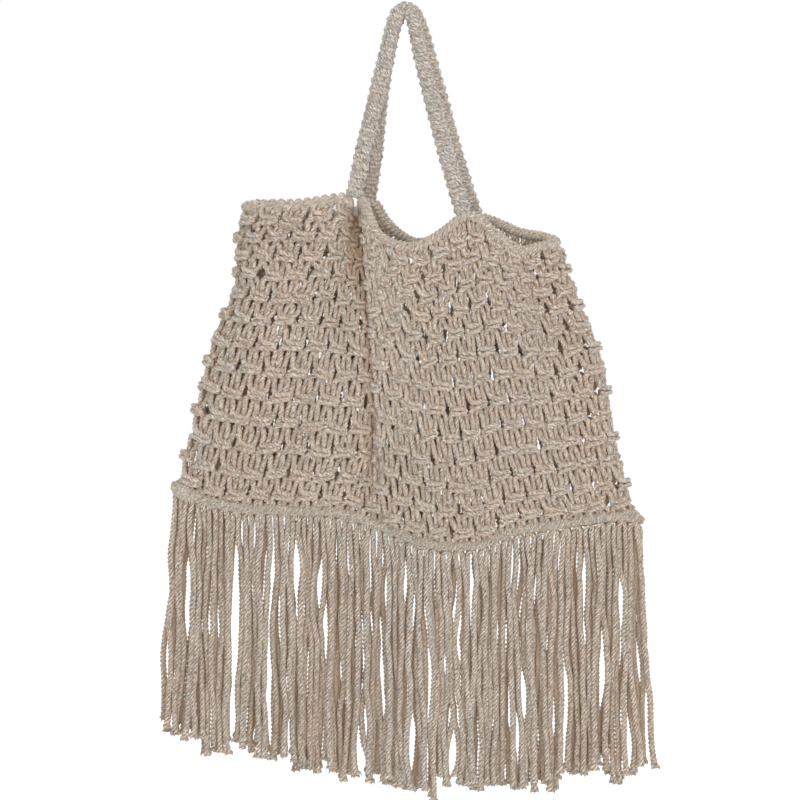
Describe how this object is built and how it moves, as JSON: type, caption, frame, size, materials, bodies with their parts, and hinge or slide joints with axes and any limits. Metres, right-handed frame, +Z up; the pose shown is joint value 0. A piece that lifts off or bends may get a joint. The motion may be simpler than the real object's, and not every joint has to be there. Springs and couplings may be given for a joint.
{
  "type": "macrame bag",
  "caption": "Knotted cotton cord bag with a flared open-net body, a folded looped rim, two flat knotted handles and a long fringe hanging under a hitched bottom bar.",
  "frame": {"origin": "the point inside the top of the two handles where the bag hangs", "axes": "+X to the right across the front of the bag, +Y from its front to its back, +Z up towards the handles"},
  "size_m": [0.4161, 0.0747, 0.6744],
  "materials": {
    "net_cotton": "matt twisted cotton cord, knotted",
    "rim_cotton": "matt twisted cotton cord, looped over a holding cord",
    "handle_cotton": "matt cotton cord in tight flat knots",
    "bar_cotton": "matt cotton cord, hitched over a holding cord",
    "fringe_cotton": "matt twisted cotton cord ends, slightly frayed"
  },
  "bodies": {
    "root": {"net_front": "net_cotton", "net_back": "net_cotton", "rim_cord": "rim_cotton", "handle_front": "handle_cotton", "handle_back": "handle_cotton", "bottom_bar_front": "bar_cotton", "bottom_bar_back": "bar_cotton", "fringe_front": "fringe_cotton", "fringe_back": "fringe_cotton"}
  },
  "joints": []
}
